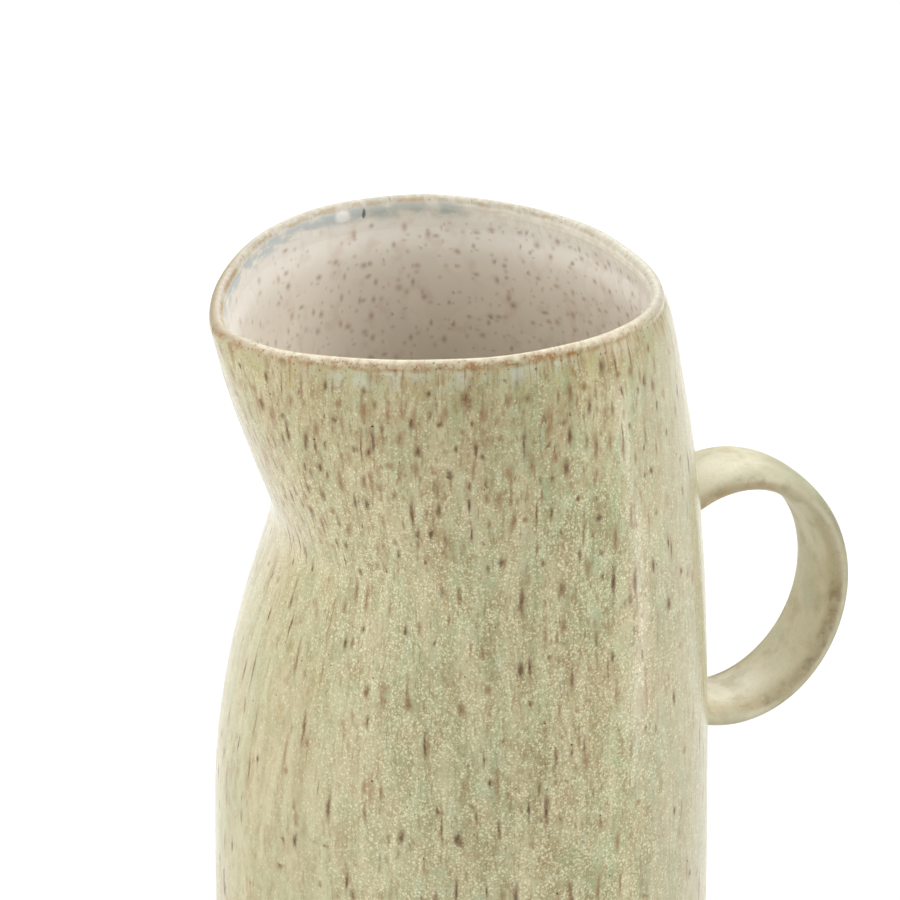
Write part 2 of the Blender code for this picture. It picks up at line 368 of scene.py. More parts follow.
def make_lute(name, sign):
    """Slip joint: carries the strap's section to the wall with a small fillet."""
    t = strap_end(sign)
    heading = loop_frame(t)[0] * sign
    base = strap_section(t)
    wide = strap_section(t, LUTE_FILLET)
    run = to_wall(wide, heading, -0.06)
    grid, joint = [], []
    straight = np.maximum(run - LUTE_FILLET, 0.05)
    for k in range(5):
        grid.append(base + heading * (straight * k / 5.0)[:, None])
        joint.append(np.full(SECTION, 0.35 * k / 5.0))
    for k in range(13):
        q = 0.5 * math.pi * k / 12.0
        section = base + (wide - base) * (1.0 - math.cos(q))
        grid.append(section + heading * (straight + (run - straight) * math.sin(q))[:, None])
        joint.append(np.full(SECTION, 0.35 + 0.65 * k / 12.0))
    centre = loop_point(t)
    deep = centre + heading * (to_wall(centre[None, :], heading, -0.6)[0])
    rows = len(grid)
    n = rows * SECTION
    faces = ring_faces(rows, SECTION)
    flip = sign < 0
    caps = fan(0, SECTION, n, not flip) + fan(rows - 1, SECTION, n + 1, flip)
    if not flip:
        faces = [f[::-1] for f in faces]
    faces += [c[::-1] for c in caps]
    edge = np.tile(section_edge(), rows)
    b = 2.0 * np.pi * np.arange(SECTION) / SECTION
    inside = np.tile(0.5 - 0.5 * np.cos(b), rows)
    points = np.vstack([np.array(grid).reshape(-1, 3), centre, deep])
    return mesh_object(name, points, faces,
                       floats={"edge": np.concatenate([edge, [0, 0]]), "inside": np.concatenate([inside, [0, 0]]),
                               "joint": np.concatenate([np.concatenate(joint), [0, 1]]),
                               "turn": np.full(n + 2, t)}, sharp=60)


# ------------------------------------------------------------------ materials
def lin(r, g, b):
    """Linear colour from 8-bit sRGB."""
    out = []
    for v in (r, g, b):
        v /= 255.0
        out.append(v / 12.92 if v <= 0.04045 else ((v + 0.055) / 1.055) ** 2.4)
    return (*out, 1.0)


class Tree:
    """Short names for shader nodes."""

    def __init__(self, name):
        self.mat = bpy.data.materials.new(name)
        self.mat.use_nodes = True
        self.nodes, self.links = self.mat.node_tree.nodes, self.mat.node_tree.links
        self.bsdf = self.nodes["Principled BSDF"]

    def put(self, socket, value):
        if isinstance(value, bpy.types.NodeSocket):
            self.links.new(value, socket)
        elif value is not None:
            socket.default_value = value

    def attr(self, name, vector=False):
        n = self.nodes.new("ShaderNodeAttribute")
        n.attribute_name = name
        return n.outputs["Vector" if vector else "Fac"]

    def where(self):
        return self.nodes.new("ShaderNodeTexCoord").outputs["Object"]

    def math(self, op, a, b=None, c=None, clamp=False):
        n = self.nodes.new("ShaderNodeMath")
        n.operation, n.use_clamp = op, clamp
        for socket, v in zip(n.inputs, (a, b, c)):
            self.put(socket, v)
        return n.outputs[0]

    def vec(self, op, a, b=None, scale=None):
        n = self.nodes.new("ShaderNodeVectorMath")
        n.operation = op
        self.put(n.inputs[0], a)
        if b is not None:
            self.put(n.inputs[1], b)
        if scale is not None:
            self.put(n.inputs["Scale"], scale)
        return n.outputs["Value" if op == "DOT_PRODUCT" else "Vector"]

    def split(self, v):
        n = self.nodes.new("ShaderNodeSeparateXYZ")
        self.put(n.inputs[0], v)
        return n.outputs

    def noise(self, v, scale=1.0, detail=2.0, rough=0.5, warp=0.0, colour=False):
        n = self.nodes.new("ShaderNodeTexNoise")
        self.put(n.inputs["Vector"], v)
        self.put(n.inputs["Scale"], scale)
        self.put(n.inputs["Detail"], detail)
        self.put(n.inputs["Roughness"], rough)
        self.put(n.inputs["Distortion"], warp)
        return n.outputs["Color" if colour else "Fac"]

    def cells(self, v, scale=1.0, feature="F1"):
        n = self.nodes.new("ShaderNodeTexVoronoi")
        n.feature = feature
        self.put(n.inputs["Vector"], v)
        self.put(n.inputs["Scale"], scale)
        return n.outputs["Distance"], n.outputs["Color"]

    def ramp(self, v, low, high, out_low=0.0, out_high=1.0):
        n = self.nodes.new("ShaderNodeMapRange")
        n.interpolation_type = "SMOOTHSTEP"
        self.put(n.inputs["Value"], v)
        self.put(n.inputs["From Min"], low)
        self.put(n.inputs["From Max"], high)
        self.put(n.inputs["To Min"], out_low)
        self.put(n.inputs["To Max"], out_high)
        return n.outputs["Result"]

    def mix(self, fac, a, b, blend="MIX"):
        n = self.nodes.new("ShaderNodeMix")
        n.data_type, n.blend_type = "RGBA", blend
        self.put(n.inputs["Factor"], fac)
        self.put(n.inputs[6], a)
        self.put(n.inputs[7], b)
        return n.outputs[2]

    def bump(self, h, strength, distance, normal=None):
        n = self.nodes.new("ShaderNodeBump")
        n.inputs["Strength"].default_value = strength
        n.inputs["Distance"].default_value = distance
        self.put(n.inputs["Height"], h)
        if normal is not None:
            self.put(n.inputs["Normal"], normal)
        return n.outputs["Normal"]

    def drops(self, g, v, wide, tall, keep, half, reach, soft=0.45):
        """Specks or streaks, one in each cell of v: wide and tall are the cell's size, half and
        reach the ranges of half width and half length, all in mm; keep is the share drawn.
        Gives the mask, a random value per speck, the distance from its middle in units of its
        own size, and the mask of a dot at the streak's head."""
        n = self.nodes.new("ShaderNodeTexVoronoi")
        c = stretched(self, v, wide, tall)
        self.put(n.inputs["Vector"], c)
        n.inputs["Scale"].default_value = 1.0
        r = self.split(n.outputs["Color"])
        off = self.vec("SUBTRACT", c, n.outputs["Position"])
        side = self.split(self.vec("CROSS_PRODUCT", g, off))[2]
        side = self.math("MULTIPLY", side, wide / GLAZE_RADIUS)
        along = self.math("MULTIPLY", self.split(off)[2], tall)
        w = self.ramp(r[0], 0.0, 1.0, *half)
        h = self.ramp(self.math("FRACT", self.math("MULTIPLY", r[0], 7.31)), 0.0, 1.0, *reach)
        x = self.math("DIVIDE", side, w)
        y = self.math("DIVIDE", along, h)
        q = self.math("SQRT", self.math("ADD", self.math("MULTIPLY", x, x), self.math("MULTIPLY", y, y)))
        q = self.math("ADD", q, self.math("MULTIPLY", self.math("GREATER_THAN", r[1], keep), 10.0))
        head = self.math("ADD", along, self.math("MULTIPLY", h, 0.6))
        d = self.math("SQRT", self.math("ADD", self.math("MULTIPLY", side, side), self.math("MULTIPLY", head, head)))
        dot = self.math("MULTIPLY", self.ramp(d, 0.14, 0.32, 1.0, 0.0), self.math("LESS_THAN", r[1], 0.08))
        return self.ramp(q, soft, 1.0, 1.0, 0.0), r[2], q, dot

    def grains(self, v, scale, low, high, keep):
        """Fine round grains of differing size."""
        d, c = self.cells(v, scale)
        r = self.split(c)
        size = self.ramp(r[0], 0.0, 1.0, low, high)
        mask = self.ramp(self.math("DIVIDE", d, size), 0.55, 1.0, 1.0, 0.0)
        return self.math("MULTIPLY", mask, self.math("LESS_THAN", r[1], keep))

    def blend(self, fac, amount, a, b):
        return self.mix(self.math("MULTIPLY", fac, amount), a, b)


def stretched(t, v, wide, tall):
    return t.vec("MULTIPLY", v, (1.0 / wide, 1.0 / wide, 1.0 / tall))


def wandering(t, g, wide, tall, amount):
    """g pushed about by a slow noise, amount in mm."""
    n = t.vec("SUBTRACT", t.noise(stretched(t, g, wide, tall), 1.0, 2.0, 0.5, colour=True), (0.5, 0.5, 0.5))
    return t.vec("ADD", g, t.vec("SCALE", n, scale=amount))


def towards(t, g, degrees):
    """Cosine of the angle around the body between a point and the given direction."""
    a = math.radians(degrees)
    return t.vec("DOT_PRODUCT", g, (math.cos(a) / GLAZE_RADIUS, math.sin(a) / GLAZE_RADIUS, 0.0))


def oval(t, g, lip, degrees, depth, half, reach):
    """Soft oval mark at an angle around the body and a depth below the crest, in mm."""
    a = math.radians(degrees)
    x = t.math("DIVIDE", t.vec("DOT_PRODUCT", g, (-math.sin(a), math.cos(a), 0.0)), half)
    y = t.math("DIVIDE", t.math("SUBTRACT", lip, depth), reach)
    q = t.math("ADD", t.math("MULTIPLY", x, x), t.math("MULTIPLY", y, y))
    return t.math("MULTIPLY", t.ramp(q, 0.15, 1.0, 1.0, 0.0), t.math("GREATER_THAN", towards(t, g, degrees), 0.5))


def outer_glaze():
    t = Tree("outer_glaze")
    g = t.attr("glz", True)
    lip = t.attr("lip")
    # flow lines that wander a little, and a ragged version of them
    flow = wandering(t, g, 9.0, 28.0, 2.6)
    ragged = wandering(t, flow, 0.9, 2.2, 0.55)

    # ground: sage with olive runs, warmer on the spout's side
    broad = t.noise(stretched(t, flow, 8.0, 18.0), 1.0, 3.0, 0.55)
    run = t.noise(stretched(t, flow, 2.8, 8.0), 1.0, 3.0, 0.6)
    col = t.mix(t.ramp(broad, 0.38, 0.62), lin(163, 174, 133), lin(189, 176, 136))
    col = t.blend(t.ramp(run, 0.45, 0.66), 0.60, col, lin(156, 146, 101))
    spout_side = t.ramp(t.split(t.where())[0], -0.055, 0.02, 1.0, 0.0)
    col = t.blend(spout_side, 0.46, col, lin(210, 200, 164))
    column = t.noise(stretched(t, flow, 4.2, 26.0), 1.0, 2.0, 0.5)
    col = t.blend(t.ramp(column, 0.50, 0.66), 0.38, col, lin(216, 210, 172))
    col = t.blend(t.ramp(column, 0.50, 0.34), 0.34, col, lin(146, 136, 88))

    # calmer below the fold on the spout's side, and next to the handle
    spout_low = t.math("MULTIPLY", spout_side, t.ramp(lip, 36.0, 62.0))
    handle_side = t.ramp(towards(t, g, 165.0), 0.42, 0.82)
    calm = t.math("SUBTRACT", 1.0, t.math("ADD", t.math("MULTIPLY", spout_low, 0.16), t.math("MULTIPLY", handle_side, 0.54)))
    far = t.math("MULTIPLY", t.ramp(t.split(t.where())[0], -0.057, -0.030, 1.0, 0.0), t.ramp(lip, 36.0, 62.0))
    fine = t.math("SUBTRACT", 1.0, t.math("ADD", t.math("MULTIPLY", far, 0.84), t.math("MULTIPLY", handle_side, 0.52)))
    clear = t.math("SUBTRACT", 1.0, t.math("MULTIPLY", far, 0.75))

    col = t.blend(handle_side, 0.68, col, lin(184, 178, 150))
    col = t.blend(far, 0.42, col, lin(192, 185, 150))
    flare = t.math("SUBTRACT", spout_side, spout_low)
    col = t.blend(flare, 0.30, col, lin(178, 160, 118))
    # painted highlight: a pale soft band along the fold's crease, where light catches it
    crease_highlight = t.math("MULTIPLY", t.ramp(t.math("ABSOLUTE", t.math("SUBTRACT", lip, 58.0)), 1.0, 11.0, 1.0, 0.0), t.ramp(towards(t, g, -18.0), 0.86, 0.99))

    # mottling: pinkish brown and grey-green patches the size of a lentil and below
    mottle = t.noise(stretched(t, ragged, 1.6, 2.8), 1.0, 4.0, 0.62)
    calm_mottle = t.math("MULTIPLY", t.ramp(handle_side, 0.0, 1.0, 1.0, 0.52), t.ramp(far, 0.0, 1.0, 1.0, 0.55))
    col = t.blend(t.math("MULTIPLY", t.ramp(mottle, 0.50, 0.67), calm_mottle), 0.44, col, lin(162, 141, 102))
    col = t.blend(t.math("MULTIPLY", t.ramp(mottle, 0.47, 0.33), calm_mottle), 0.62, col, lin(188, 193, 161))
    dust = t.noise(stretched(t, g, 0.36, 0.50), 1.0, 2.0, 0.55)
    col = t.blend(t.math("MULTIPLY", t.ramp(dust, 0.50, 0.74), fine), 0.28, col, lin(130, 121, 83))
    col = t.blend(t.math("MULTIPLY", t.ramp(dust, 0.48, 0.28), fine), 0.28, col, lin(214, 209, 172))

    silk = t.noise(stretched(t, ragged, 0.8, 7.0), 1.0, 3.0, 0.55)
    col = t.blend(t.math("MULTIPLY", t.ramp(silk, 0.48, 0.66), handle_side), 0.34, col, lin(152, 138, 108))

    # more iron near the lip, in loose groups below
    top = t.ramp(lip, 16.0, 60.0, 1.0, 0.0)
    group = t.ramp(t.noise(stretched(t, flow, 8.0, 14.0), 1.0, 2.0, 0.5), 0.40, 0.60, 0.38, 1.0)
    iron = t.math("MAXIMUM", group, t.math("MULTIPLY", top, 0.72))
    iron = t.math("MULTIPLY", iron, calm)
    stain = t.noise(stretched(t, ragged, 2.4, 5.6), 1.0, 4.0, 0.6)
    col = t.blend(t.math("MULTIPLY", t.ramp(stain, 0.47, 0.66), iron), 0.42, col, lin(156, 126, 84))

    # cream crystals: a crowded network of worms and grains in drifts, finer towards the lip
    drift = t.noise(stretched(t, flow, 3.6, 5.4), 1.0, 4.0, 0.62)
    thick = t.ramp(drift, 0.36, 0.58, 0.40, 1.0)
    thick = t.math("MULTIPLY", thick, t.ramp(lip, 8.0, 56.0, 0.43, 1.0))
    thick = t.math("MULTIPLY", thick, fine)
    curl = wandering(t, g, 0.6, 0.6, 0.30)
    worms = t.ramp(t.noise(stretched(t, curl, 0.66, 0.76), 1.0, 2.0, 0.5), 0.46, 0.62)
    worms = t.math("MULTIPLY", t.math("MULTIPLY", worms, thick), t.ramp(lip, 3.6, 6.5))
    col = t.blend(worms, 0.36, col, lin(228, 223, 183))
    grains = t.math("MAXIMUM", t.grains(curl, 1.12, 0.26, 0.42, thick), t.grains(t.vec("ADD", curl, (5.3, 2.9, 8.1)), 1.38, 0.26, 0.43, thick))
    grains = t.math("MAXIMUM", grains, t.math("MULTIPLY", t.grains(t.vec("ADD", curl, (3.1, 7.7, 1.3)), 1.78, 0.27, 0.45, thick), 0.8))
    grains = t.math("MULTIPLY", t.math("MULTIPLY", grains, t.ramp(thick, 0.2, 0.8, 0.5, 1.0)), t.ramp(lip, 3.6, 6.5))
    col = t.blend(grains, 0.63, col, lin(240, 236, 199))
    crystals = t.math("MAXIMUM", worms, grains)

    # iron streaks: smears, small marks, blots near the lip, and long ones with a dark heart, some with a black head
    torn = wandering(t, wandering(t, flow, 1.6, 3.8, 1.1), 0.55, 0.9, 0.42)
    breakup = t.ramp(t.noise(stretched(t, g, 0.6, 1.0), 1.0, 3.0, 0.6), 0.30, 0.56, 0.55, 1.0)
    smear = t.noise(stretched(t, ragged, 1.2, 4.2), 1.0, 4.0, 0.6)
    smear = t.math("MULTIPLY", t.ramp(smear, 0.53, 0.70), iron)
    col = t.blend(smear, 0.52, col, lin(142, 108, 70))
    thread, tint, _, _ = t.drops(g, ragged, 1.7, 7.5, 0.66, (0.18, 0.36), (1.2, 3.4), 0.0)
    thread = t.math("MULTIPLY", t.math("MULTIPLY", thread, clear), t.math("MULTIPLY", t.ramp(lip, 30.0, 110.0, 0.62, 0.50), calm))
    col = t.blend(thread, 0.74, col, t.mix(tint, lin(116, 88, 54), lin(156, 124, 80)))
    mark, tint, _, _ = t.drops(g, torn, 2.5, 4.6, 0.60, (0.36, 0.70), (0.9, 2.3), -0.2)
    mark = t.math("MULTIPLY", t.math("MULTIPLY", t.math("MULTIPLY", mark, breakup), iron), clear)
    col = t.blend(mark, 0.76, col, t.mix(tint, lin(112, 79, 48), lin(152, 116, 75)))
    keep = t.math("MULTIPLY", t.math("ADD", t.ramp(lip, 22.0, 75.0, 0.78, 0.22), t.math("MULTIPLY", flare, 0.34)), calm)
    blot, tint, q, _ = t.drops(g, torn, 4.6, 6.4, keep, (0.65, 1.45), (1.3, 3.5), -0.1)
    col = t.blend(t.math("MULTIPLY", blot, breakup), 0.88, col, t.mix(tint, lin(108, 76, 47), lin(150, 114, 73)))
    heart = t.math("MULTIPLY", t.ramp(q, 0.0, 0.62, 1.0, 0.0), t.ramp(tint, 0.55, 0.15))
    col = t.blend(t.math("MULTIPLY", heart, breakup), 0.72, col, lin(90, 58, 34))
    long, tint, q, dot = t.drops(g, torn, 5.6, 17.0, t.math("MULTIPLY", t.math("MULTIPLY", calm, 0.74), t.ramp(far, 0.0, 1.0, 1.0, 0.55)), (0.52, 1.15), (3.0, 8.0), -0.1)
    col = t.blend(t.math("MULTIPLY", long, breakup), 0.82, col, t.mix(tint, lin(120, 82, 56), lin(160, 121, 84)))
    heart = t.math("MULTIPLY", t.ramp(q, 0.0, 0.60, 1.0, 0.0), t.ramp(tint, 0.58, 0.18))
    col = t.blend(t.math("MULTIPLY", heart, breakup), 0.76, col, lin(88, 57, 33))
    col = t.blend(dot, 0.92, col, lin(42, 33, 25))
    pepper, _, _, _ = t.drops(g, t.vec("ADD", g, (2.0, 5.0, 11.0)), 8.0, 8.0, 0.22, (0.16, 0.28), (0.16, 0.28))
    col = t.blend(pepper, 0.80, col, lin(58, 44, 32))

    # painted highlight in the fold's crease
    col = t.blend(crease_highlight, 0.16, col, lin(216, 209, 188))

    # lip: glaze drawn thin over the clay, a rusty line below it, runs hanging from the line
    wander = t.math("MULTIPLY", t.math("SUBTRACT", t.noise(stretched(t, g, 4.0, 4.0), 1.0, 3.0, 0.6), 0.5), 1.4)
    at_lip = t.math("ADD", lip, wander)
    front = t.ramp(towards(t, g, 62.0), 0.20, 0.75)
    halo = t.math("MULTIPLY", t.ramp(at_lip, 2.4, 3.4), t.ramp(at_lip, 4.5, 8.0, 1.0, 0.0))
    halo = t.math("MULTIPLY", halo, t.ramp(t.noise(stretched(t, g, 5.0, 5.0), 1.0, 2.0, 0.5), 0.40, 0.66, 0.0, 1.0))
    col = t.blend(t.math("MULTIPLY", t.ramp(at_lip, 1.4, 2.4), t.ramp(at_lip, 2.8, 6.0, 1.0, 0.0)), 0.20, col, lin(214, 204, 170))
    col = t.blend(t.math("MULTIPLY", halo, t.ramp(towards(t, g, 66.0), 0.72, 0.95)), 0.66, col, lin(204, 207, 189))
    mustard = t.math("MULTIPLY", t.ramp(at_lip, 2.6, 4.0), t.ramp(at_lip, 5.5, 11.0, 1.0, 0.0))
    mustard = t.math("MULTIPLY", mustard, t.ramp(t.noise(stretched(t, t.vec("ADD", g, (14.0, 6.0, 3.0)), 4.0, 5.0), 1.0, 3.0, 0.55), 0.48, 0.64))
    col = t.blend(mustard, 0.40, col, lin(186, 172, 116))
    beard = t.noise(stretched(t, ragged, 1.0, 30.0), 1.0, 2.0, 0.6)
    reach = t.ramp(beard, 0.46, 0.72, 3.0, 12.0)
    runs = t.math("MULTIPLY", t.ramp(t.math("DIVIDE", at_lip, reach), 0.30, 1.0, 1.0, 0.0), t.ramp(beard, 0.51, 0.64))
    some = t.ramp(t.noise(stretched(t, g, 8.0, 30.0), 1.0, 2.0, 0.5), 0.40, 0.60, 0.2, 1.0)
    runs = t.math("MULTIPLY", t.math("MULTIPLY", runs, breakup), some)
    col = t.blend(t.math("MULTIPLY", runs, t.ramp(at_lip, 1.6, 2.4)), 0.66, col, lin(140, 103, 62))
    bare = t.ramp(at_lip, 1.2, 2.4, 1.0, 0.0)
    clay = t.noise(stretched(t, g, 1.6, 2.2), 1.0, 3.0, 0.6)
    edge = t.ramp(t.math("ABSOLUTE", t.math("ADD", at_lip, 1.5)), 0.25, 0.80, 1.0, 0.0)
    tan = t.mix(t.ramp(clay, 0.35, 0.65), lin(192, 185, 168), lin(210, 204, 189))
    rim = t.noise(stretched(t, wandering(t, g, 3.0, 2.0, 1.2), 5.0, 2.2), 1.0, 3.0, 0.6)
    tan = t.blend(t.ramp(rim, 0.46, 0.32), 0.60, tan, lin(204, 202, 172))
    tan = t.blend(t.math("MULTIPLY", t.math("MULTIPLY", edge, t.ramp(rim, 0.46, 0.62)), t.ramp(towards(t, g, -14.0), 0.60, 0.95, 0.45, 1.0)), 0.80, tan, lin(176, 140, 94))
    tan = t.blend(t.math("MULTIPLY", t.ramp(at_lip, -1.0, -0.2, 1.0, 0.0), t.ramp(rim, 0.50, 0.66)), 0.32, tan, lin(192, 164, 122))
    tan = t.blend(t.ramp(at_lip, -0.7, 0.5), 0.50, tan, lin(176, 169, 152))
    tan = t.blend(front, 0.9, tan, t.mix(t.ramp(clay, 0.35, 0.65), lin(204, 191, 160), lin(224, 216, 190)))
    tan = t.blend(t.math("MULTIPLY", t.ramp(at_lip, -0.9, 0.3), t.ramp(towards(t, g, -16.0), 0.80, 0.97)), 0.66, tan, lin(164, 148, 116))
    tan = t.blend(t.ramp(towards(t, g, 168.0), 0.80, 0.96), 0.9, tan, t.mix(t.ramp(clay, 0.35, 0.65), lin(194, 189, 170), lin(209, 204, 188)))
    col = t.mix(bare, col, tan)
    line = t.math("MULTIPLY", t.ramp(at_lip, 0.6, 1.4), t.ramp(at_lip, 2.2, 3.4, 1.0, 0.0))
    patch = t.ramp(t.noise(stretched(t, g, 2.6, 1.8), 1.0, 4.0, 0.7), 0.40, 0.62)
    rusty = t.math("MAXIMUM", t.ramp(towards(t, g, 78.0), 0.90, 0.98), t.ramp(towards(t, g, 16.0), 0.70, 0.96))
    patch = t.math("MULTIPLY", patch, t.ramp(rusty, 0.0, 1.0, 0.50, 1.0))
    patch = t.math("MULTIPLY", patch, t.ramp(t.noise(stretched(t, ragged, 0.7, 0.7), 1.0, 3.0, 0.6), 0.36, 0.58, 0.25, 1.0))
    col = t.blend(t.math("MULTIPLY", line, t.math("MULTIPLY", patch, t.ramp(front, 0.0, 0.6, 0.25, 1.0))), 0.82, col, lin(158, 104, 52))
    zone = t.math("MULTIPLY", t.ramp(at_lip, 0.2, 1.2), t.ramp(at_lip, 3.2, 7.0, 1.0, 0.0))
    lipdot, tint, _, _ = t.drops(g, g, 2.1, 1.9, 0.36, (0.20, 0.44), (0.22, 0.50), 0.2)
    col = t.blend(t.math("MULTIPLY", lipdot, zone), 0.80, col, t.mix(tint, lin(78, 52, 34), lin(152, 96, 54)))
    crest = t.math("MULTIPLY", t.ramp(at_lip, -2.8, -1.8), t.ramp(at_lip, 0.8, 1.8, 1.0, 0.0))
    fleck, tint, _, _ = t.drops(g, torn, 2.6, 2.2, 0.46, (0.30, 1.00), (0.22, 0.60), -0.2)
    col = t.blend(t.math("MULTIPLY", fleck, crest), 0.62, col, t.mix(tint, lin(116, 92, 62), lin(172, 134, 90)))

    crack, _, _, _ = t.drops(g, t.vec("ADD", torn, (6.0, 2.0, 9.0)), 3.4, 3.0, 0.50, (0.12, 0.30), (0.5, 1.5), 0.0)
    col = t.blend(t.math("MULTIPLY", crack, crest), 0.60, col, lin(124, 106, 74))
    nick, _, _, _ = t.drops(g, t.vec("ADD", g, (1.0, 8.0, 5.0)), 1.3, 1.5, 0.50, (0.13, 0.28), (0.15, 0.42), 0.1)
    nick = t.math("MULTIPLY", nick, t.math("MULTIPLY", t.ramp(at_lip, 1.0, 2.0), t.ramp(at_lip, 4.0, 10.0, 1.0, 0.0)))
    col = t.blend(t.math("MULTIPLY", nick, t.ramp(towards(t, g, 22.0), 0.60, 0.95, 0.25, 1.0)), 0.78, col, lin(100, 66, 40))

    # inner edge: pale glaze, painted lighter still to stand in for the light falling on it over the rim, with blue-grey
    # along the spout's far side
    inner = t.ramp(at_lip, -2.4, -1.5, 1.0, 0.0)
    pale = t.mix(t.ramp(clay, 0.35, 0.65), lin(239, 234, 221), lin(249, 245, 235))
    # darker tan band on the inner shoulder: partly the glaze breaking tan there, partly painted shade to hold down the
    # light the upward-facing shoulder catches
    shoulder = t.math("MULTIPLY", t.ramp(t.math("ABSOLUTE", t.math("ADD", at_lip, 2.3)), 0.4, 1.3, 1.0, 0.0), t.ramp(rim, 0.38, 0.60, 0.55, 1.0))
    pale = t.blend(shoulder, 0.66, pale, lin(207, 196, 174))
    blotch = t.noise(stretched(t, g, 5.0, 2.2), 1.0, 3.0, 0.55)
    blue = t.math("MULTIPLY", t.ramp(t.math("ADD", at_lip, t.math("MULTIPLY", blotch, 4.0)), -5.2, -1.4), t.ramp(at_lip, -2.4, -1.5, 1.0, 0.0))
    dark = t.math("MULTIPLY", t.ramp(towards(t, g, -98.0), 0.94, 0.985), t.ramp(blotch, 0.34, 0.56, 0.40, 1.0))
    light = t.math("MULTIPLY", t.ramp(towards(t, g, -46.0), 0.62, 0.88), t.ramp(blotch, 0.38, 0.56, 0.20, 1.0))
    pale = t.blend(t.math("MULTIPLY", blue, light), 0.80, pale, lin(192, 202, 205))
    pale = t.blend(t.math("MULTIPLY", blue, dark), 0.80, pale, lin(186, 193, 189))
    # one dark drip, and beside it a painted highlight: a white patch where a lamp is reflected in the inner lip
    pale = t.blend(oval(t, g, at_lip, -85.5, -3.7, 0.62, 1.7), 0.88, pale, lin(96, 99, 92))
    pale = t.blend(oval(t, g, at_lip, -79.0, -3.4, 2.7, 1.9), 0.88, pale, lin(250, 251, 250))
    col = t.mix(inner, col, pale)
    deep = t.ramp(at_lip, -7.4, -4.6, 1.0, 0.0)
    col = t.mix(deep, col, inside_colour(t, g, lip))

    # bare foot
    z = t.split(t.where())[2]
    foot = t.ramp(z, 0.0021, 0.0024, 1.0, 0.0)
    clay = t.mix(t.noise(t.where(), 900.0, 4.0, 0.6), lin(196, 172, 138), lin(224, 204, 172))
    col = t.mix(foot, col, clay)
    t.put(t.bsdf.inputs["Base Color"], col)

    # gloss and relief
    rough = t.ramp(t.noise(stretched(t, flow, 3.0, 6.0), 1.0, 3.0, 0.6), 0.3, 0.7, 0.15, 0.23)
    rough = t.math("ADD", rough, t.math("MULTIPLY", smear, 0.08))
    rough = t.math("MAXIMUM", rough, t.ramp(t.math("ABSOLUTE", t.math("ADD", at_lip, 0.3)), 1.4, 3.2, 0.44, 0.0))
    rough = t.math("MAXIMUM", rough, t.math("MULTIPLY", foot, 0.85))
    rough = t.math("ADD", t.math("MULTIPLY", rough, t.math("SUBTRACT", 1.0, deep)), t.math("MULTIPLY", deep, 0.265))
    t.put(t.bsdf.inputs["Roughness"], rough)
    t.bsdf.inputs["IOR"].default_value = 1.5
    t.bsdf.inputs["Specular IOR Level"].default_value = 0.32
    outside = t.math("ADD", t.math("MULTIPLY", crystals, 0.10), t.math("MULTIPLY", t.noise(stretched(t, flow, 2.2, 3.4), 1.0, 2.0, 0.5), 0.40))
    relief = t.math("ADD", t.math("MULTIPLY", outside, t.math("SUBTRACT", 1.0, deep)), t.math("MULTIPLY", inside_relief(t, g), t.math("MULTIPLY", deep, 0.06)))
    t.put(t.bsdf.inputs["Normal"], t.bump(relief, 0.30, 0.0003))
    return t.mat


def inside_colour(t, g, lip):
    """Lining glaze: warm grey, painted lighter under the lip for the light falling in through the mouth, with brown
    iron specks that blur into it.
    """
    tone = t.noise(stretched(t, g, 14.0, 18.0), 1.0, 3.0, 0.5)
    col = t.mix(tone, lin(225, 216, 201), lin(234, 226, 212))
    # painted light: paler near the lip and darker with depth, as light falls in through the mouth
    col = t.blend(t.ramp(lip, -22.0, -6.0), 0.68, col, lin(246, 244, 237))
    open_wall = t.ramp(towards(t, g, 4.0), 0.35, 0.92, 1.0, 0.15)
    cloud = t.noise(t.vec("ADD", g, (31.0, 8.0, 17.0)), 0.22, 2.0, 0.5)
    col = t.blend(t.math("MULTIPLY", t.ramp(cloud, 0.48, 0.74), open_wall), 0.22, col, lin(190, 152, 128))
    # round specks on the floor, where the wall's own coordinates run to a point
    g_parts = t.split(g)
    out = t.math("SQRT", t.math("ADD", t.math("MULTIPLY", g_parts[0], g_parts[0]), t.math("MULTIPLY", g_parts[1], g_parts[1])))
    wall = t.ramp(out, 48.0, 53.3)
    on_floor = t.math("MULTIPLY", t.grains(g, 0.17, 0.14, 0.30, 0.62), t.math("SUBTRACT", 1.0, wall))
    col = t.blend(on_floor, 0.50, col, lin(146, 104, 86))
    faint, _, _, _ = t.drops(g, t.vec("ADD", g, (3.0, 9.0, 4.0)), 3.6, 3.6, 0.70, (0.60, 1.25), (0.55, 1.10), -0.3)
    col = t.blend(t.math("MULTIPLY", t.math("MULTIPLY", faint, open_wall), wall), 0.40, col, lin(166, 122, 100))
    spot, tint, _, _ = t.drops(g, wandering(t, t.vec("ADD", g, (5.0, 1.0, 2.0)), 2.4, 2.4, 0.28), 4.8, 5.0, 0.60, (0.95, 1.85), (0.90, 1.75), -0.45)
    return t.blend(t.math("MULTIPLY", t.math("MULTIPLY", spot, wall), t.ramp(open_wall, 0.15, 1.0, 0.75, 1.0)), 0.72, col, t.mix(tint, lin(124, 82, 66), lin(176, 130, 110)))


def inside_relief(t, g):
    return t.noise(g, 0.10, 1.0, 0.4)


def lining_glaze():
    t = Tree("lining_glaze")
    g = t.attr("glz", True)
    t.put(t.bsdf.inputs["Base Color"], inside_colour(t, g, t.attr("lip")))
    t.put(t.bsdf.inputs["Roughness"], t.ramp(t.noise(g, 0.08, 1.0, 0.5), 0.3, 0.7, 0.25, 0.28))
    t.bsdf.inputs["Specular IOR Level"].default_value = 0.32
    t.put(t.bsdf.inputs["Normal"], t.bump(inside_relief(t, g), 0.05, 0.00010))
    return t.mat


